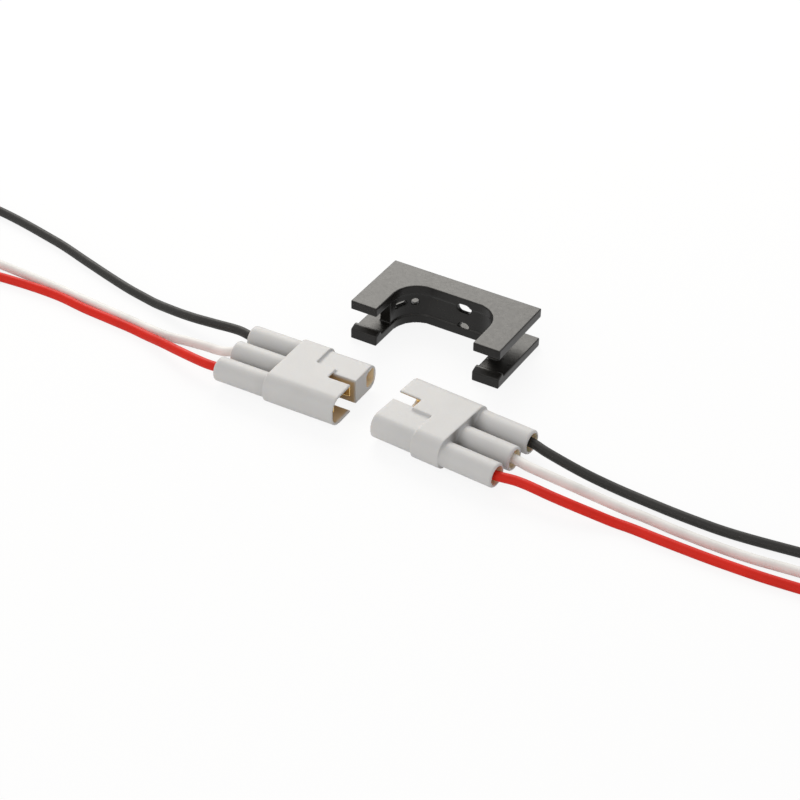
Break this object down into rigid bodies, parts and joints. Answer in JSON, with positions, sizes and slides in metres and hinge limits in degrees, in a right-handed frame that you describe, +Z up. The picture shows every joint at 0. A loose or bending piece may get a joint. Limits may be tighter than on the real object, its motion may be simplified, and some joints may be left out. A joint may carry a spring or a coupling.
{
  "type": "in-line cable connector set with panel bracket",
  "caption": "Pair of identical in-line cable connector halves, each part plug and part hood, with crimped leads, beside the U-shaped bracket that holds the mated pair in a panel.",
  "frame": {"origin": "on the surface that the set lies on, at the middle of the box round both halves and the bracket, leads left out", "axes": "+X along the mating axis from the first half towards the second, +Y towards the bracket, +Z up"},
  "size_m": [0.236, 0.0396, 0.0074],
  "materials": {
    "housing_plastic": "moulded light grey, fine satin",
    "bracket_plastic": "moulded black with a satin sheen",
    "gold_plate": "gold plate over copper alloy",
    "red_insulation": "extruded red insulation",
    "white_insulation": "extruded white insulation",
    "black_insulation": "extruded black insulation",
    "tinned_copper": "tinned twisted strands"
  },
  "bodies": {
    "root": {"housing_a": "housing_plastic", "housing_b": "housing_plastic", "panel_bracket": "bracket_plastic", "contact_a_red": "gold_plate", "lead_a_red": "red_insulation", "strands_a_red": "tinned_copper", "contact_a_white": "gold_plate", "lead_a_white": "white_insulation", "strands_a_white": "tinned_copper", "contact_a_black": "gold_plate", "lead_a_black": "black_insulation", "strands_a_black": "tinned_copper", "contact_b_red": "gold_plate", "lead_b_red": "red_insulation", "strands_b_red": "tinned_copper", "contact_b_white": "gold_plate", "lead_b_white": "white_insulation", "strands_b_white": "tinned_copper", "contact_b_black": "gold_plate", "lead_b_black": "black_insulation", "strands_b_black": "tinned_copper"}
  },
  "joints": []
}
